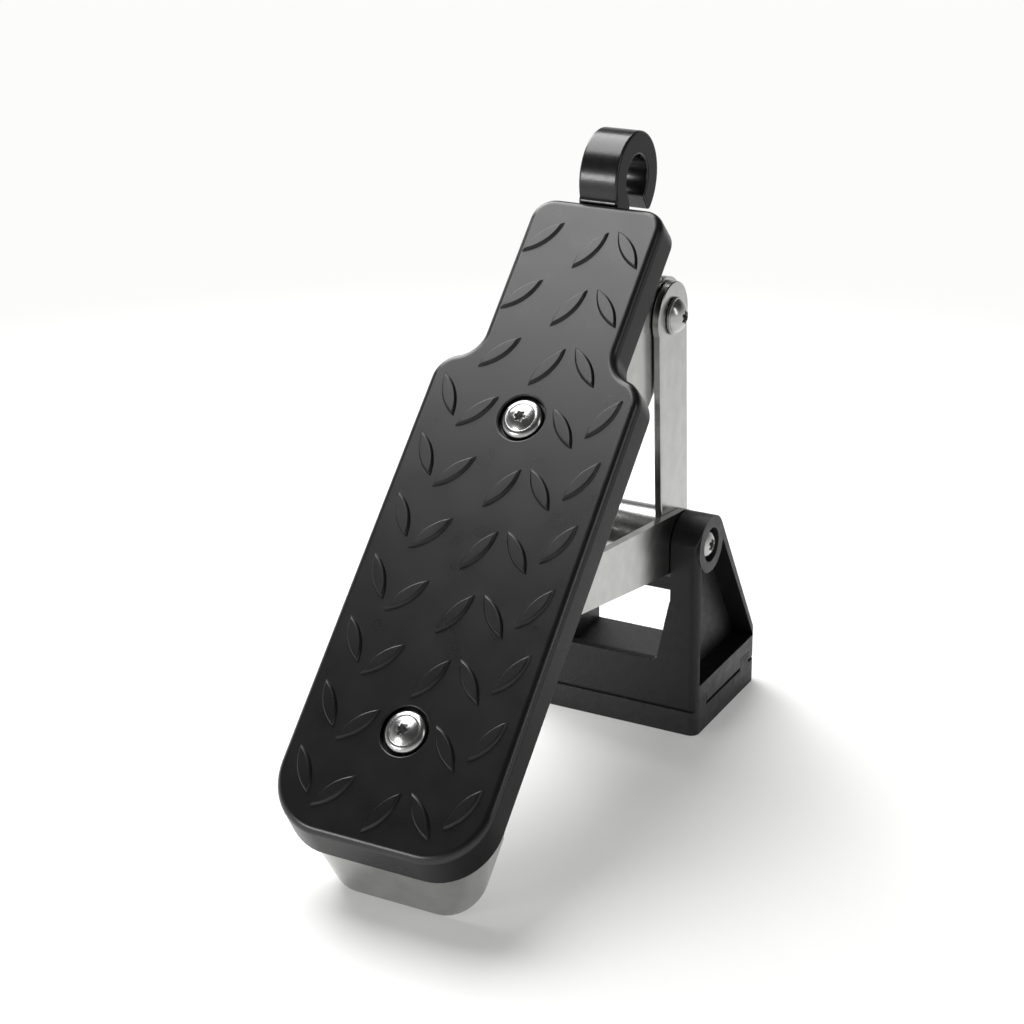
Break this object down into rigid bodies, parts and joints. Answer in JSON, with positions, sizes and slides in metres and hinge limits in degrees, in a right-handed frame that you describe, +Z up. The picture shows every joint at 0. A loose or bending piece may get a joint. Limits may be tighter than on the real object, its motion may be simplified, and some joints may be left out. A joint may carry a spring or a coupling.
{
  "type": "car door latch step",
  "caption": "Folding car door step: a treaded foot pad with a latch hook at its top, held up by a hinged strut, link and rubber-soled foot.",
  "frame": {"origin": "on the floor, below the middle of the box round the standing step", "axes": "+X across the pad, +Y from the low end of the pad back to the foot, +Z up"},
  "size_m": [0.0704, 0.1995, 0.1951],
  "materials": {
    "pad_plastic": "moulded black, satin",
    "foot_plastic": "moulded black, fine grain",
    "black_enamel": "black powder coat, satin gloss",
    "satin_steel": "bead blasted, satin",
    "bright_steel": "polished",
    "sole_rubber": "matt black"
  },
  "bodies": {
    "pedal": {"tread_pad": "pad_plastic", "frame_pan": "satin_steel", "hinge_channel": "satin_steel", "hook": "black_enamel", "hook_rivets": "satin_steel", "cup_washer_upper": "bright_steel", "cup_washer_lower": "bright_steel", "tread_screw_upper": "bright_steel", "tread_screw_lower": "bright_steel", "tread_nut_upper": "bright_steel", "tread_nut_lower": "bright_steel", "upper_axle_tube": "bright_steel", "upper_screw_left": "bright_steel", "upper_screw_right": "bright_steel", "upper_washers": "bright_steel"},
    "strut": {"strut_left": "satin_steel", "strut_right": "satin_steel", "lower_axle_tube": "bright_steel", "lower_screw_left": "bright_steel", "lower_screw_right": "bright_steel", "lower_washers": "bright_steel"},
    "link": {"link_channel": "satin_steel", "slide_pin": "bright_steel", "slide_bushes": "bright_steel", "slide_clips": "satin_steel"},
    "foot": {"foot_bracket": "foot_plastic", "rubber_sole": "sole_rubber"}
  },
  "joints": [
    {"name": "strut_fold", "type": "hinge", "parent": "pedal", "child": "strut", "pos_m": [0, 0.05583, 0.1415], "axis": [-1, 0, 0], "range_deg": [0, 45]},
    {"name": "link_fold", "type": "hinge", "parent": "strut", "child": "link", "pos_m": [0, 0.05956, 0.06529], "axis": [-1, 0, 0], "range_deg": [-90, 0]},
    {"name": "foot_tilt", "type": "hinge", "parent": "link", "child": "foot", "pos_m": [0, 0.05956, 0.06529], "axis": [-1, 0, 0], "range_deg": [-25, 35]}
  ],
  "couplings": [
    {"joint": "link_fold", "follows": "strut_fold", "ratio": -2}
  ]
}
